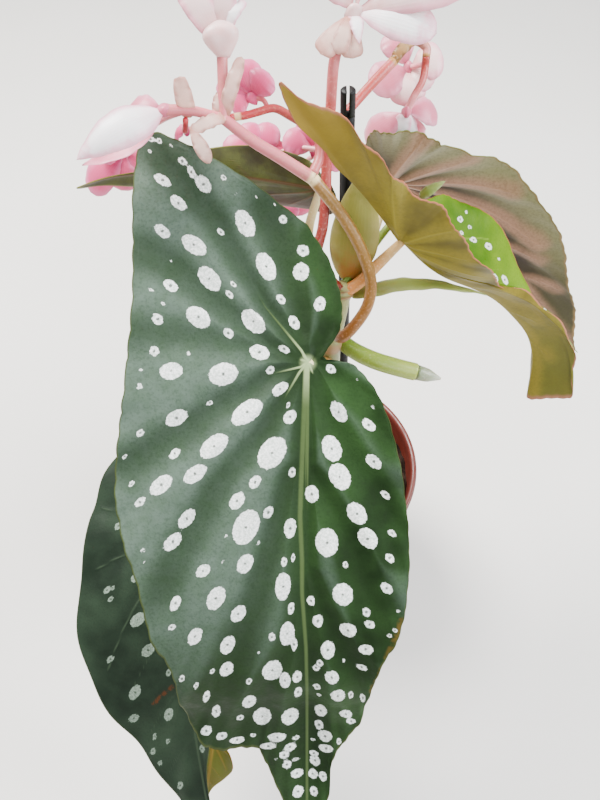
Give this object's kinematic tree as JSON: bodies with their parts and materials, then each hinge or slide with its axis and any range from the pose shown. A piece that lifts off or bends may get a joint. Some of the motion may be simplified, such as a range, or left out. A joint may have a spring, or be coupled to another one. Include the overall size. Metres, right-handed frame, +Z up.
{
  "type": "potted plant",
  "caption": "Angel-wing begonia with silver-spotted leaves and pink flowers, staked in a round terracotta-coloured plastic pot of soil.",
  "frame": {"origin": "centre of the pot's flat underside", "axes": "+Z up, the pot's axis of turning; the plant leans out towards -Y, the side the picture was taken from; +X to the right in the picture"},
  "size_m": [0.2342, 0.2484, 0.3455],
  "materials": {
    "pot_plastic": "satin",
    "potting_soil": "rough, moist peat",
    "stake_plastic": "satin",
    "cane": "satin, fleshy stem",
    "orange_pink_stalk": "satin, fleshy stalk",
    "red_pink_stalk": "satin, fleshy stalk",
    "spotted_leaf": "satin, silver spots",
    "dull_leaf": "satin, dull spots",
    "young_leaf": "satin, thin",
    "leaf_underside": "matt underside",
    "red_leaf": "satin",
    "old_leaf": "dry",
    "pale_tepal": "waxy petal",
    "hot_tepal": "waxy petal",
    "pale_shoot": "satin, translucent",
    "white_bud": "satin"
  },
  "bodies": {
    "root": {"pot": "pot_plastic", "soil": "potting_soil", "stake": "stake_plastic", "main_cane": "cane", "second_cane": "cane", "left_flower_stalk": "orange_pink_stalk", "right_flower_stalk": "red_pink_stalk", "main_leaf": "spotted_leaf", "lower_left_leaf": "dull_leaf", "young_leaf": "young_leaf", "right_leaf": "leaf_underside", "back_left_leaf": "red_leaf", "old_leaf": "old_leaf", "left_flower_boat": "pale_tepal", "left_flower_low": "hot_tepal", "left_flower_bud": "hot_tepal", "left_flower_top": "pale_tepal", "left_flower_arc": "hot_tepal", "back_flower_left": "hot_tepal", "back_flower_right": "hot_tepal", "back_flower_low": "hot_tepal", "right_flower_top": "pale_tepal", "right_flower_middle": "pale_tepal", "right_flower_low": "pale_tepal", "side_shoot": "pale_shoot", "shoot_bud": "white_bud", "terminal_shoot": "pale_shoot", "narrow_stipule": "pale_shoot", "broad_stipule": "pale_shoot", "terminal_bud": "pale_shoot"}
  },
  "joints": []
}
